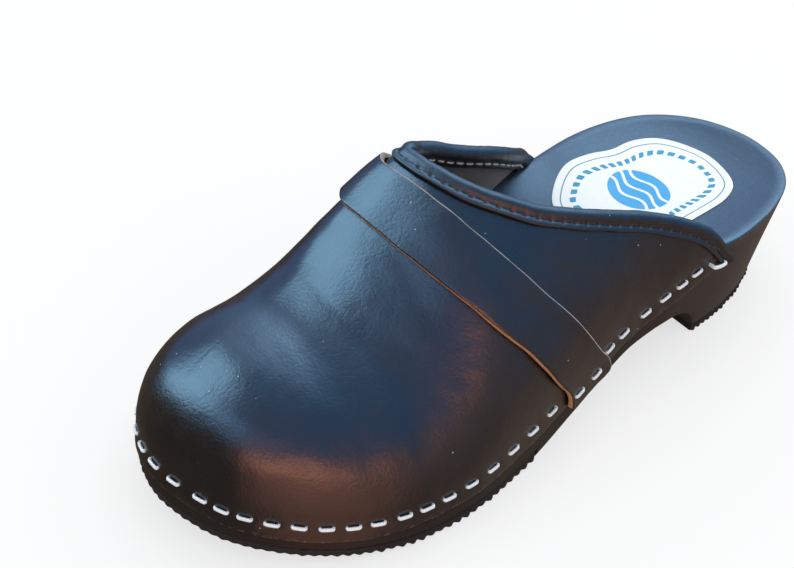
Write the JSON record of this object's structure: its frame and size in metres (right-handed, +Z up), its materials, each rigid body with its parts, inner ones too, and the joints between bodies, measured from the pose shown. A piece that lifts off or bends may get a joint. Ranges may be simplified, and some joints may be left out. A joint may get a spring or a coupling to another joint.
{
  "type": "wooden clog",
  "caption": "Left clog with a carved wooden sole, a stapled black leather upper, a padded open collar, an instep strap and rubber treads.",
  "frame": {"origin": "on the ground under the middle of the bounding box", "axes": "+Z up, toe towards -Y, heel towards +Y, outer side of the left foot towards +X"},
  "size_m": [0.1012, 0.261, 0.0901],
  "materials": {
    "black_wood": "black stain, satin, fine straight grain",
    "tread_rubber": "matt moulded rubber",
    "black_leather": "smooth semi-gloss black, raw tan edge, pink-brown flesh side",
    "binding_leather": "thin soft black leather",
    "foam": "open-cell foam cord",
    "black_thread": "twisted polyester",
    "cream_thread": "twisted polyester",
    "label_paper": "white printed sticker with a thin teal line",
    "staple_steel": "bright galvanised wire"
  },
  "bodies": {
    "root": {"binding_bobbin_thread": "cream_thread", "binding_needle_thread": "black_thread", "collar_binding": "binding_leather", "collar_padding": "foam", "forefoot_tread": "tread_rubber", "heel_label": "label_paper", "heel_tread": "tread_rubber", "instep_strap": "black_leather", "staple_collar_outer": "staple_steel", "staple_inner_01": "staple_steel", "staple_inner_02": "staple_steel", "staple_inner_03": "staple_steel", "staple_inner_04": "staple_steel", "staple_inner_05": "staple_steel", "staple_inner_06": "staple_steel", "staple_inner_07": "staple_steel", "staple_inner_08": "staple_steel", "staple_inner_09": "staple_steel", "staple_inner_10": "staple_steel", "staple_inner_11": "staple_steel", "staple_inner_12": "staple_steel", "staple_inner_13": "staple_steel", "staple_inner_14": "staple_steel", "staple_inner_15": "staple_steel", "staple_inner_16": "staple_steel", "staple_inner_17": "staple_steel", "staple_outer_01": "staple_steel", "staple_outer_02": "staple_steel", "staple_outer_03": "staple_steel", "staple_outer_04": "staple_steel", "staple_outer_05": "staple_steel", "staple_outer_06": "staple_steel", "staple_outer_07": "staple_steel", "staple_outer_08": "staple_steel", "staple_outer_09": "staple_steel", "staple_outer_10": "staple_steel", "staple_outer_11": "staple_steel", "staple_outer_12": "staple_steel", "staple_outer_13": "staple_steel", "staple_outer_14": "staple_steel", "staple_outer_15": "staple_steel", "staple_outer_16": "staple_steel", "staple_outer_17": "staple_steel", "staple_outer_18": "staple_steel", "staple_outer_19": "staple_steel", "staple_outer_20": "staple_steel", "staple_outer_21": "staple_steel", "staple_outer_22": "staple_steel", "staple_outer_23": "staple_steel", "staple_outer_24": "staple_steel", "staple_outer_25": "staple_steel", "staple_outer_26": "staple_steel", "staple_strap_inner_front": "staple_steel", "staple_strap_inner_rear": "staple_steel", "staple_strap_outer_front": "staple_steel", "staple_strap_outer_rear": "staple_steel", "upper_leather": "black_leather", "wooden_sole": "black_wood"}
  },
  "joints": []
}
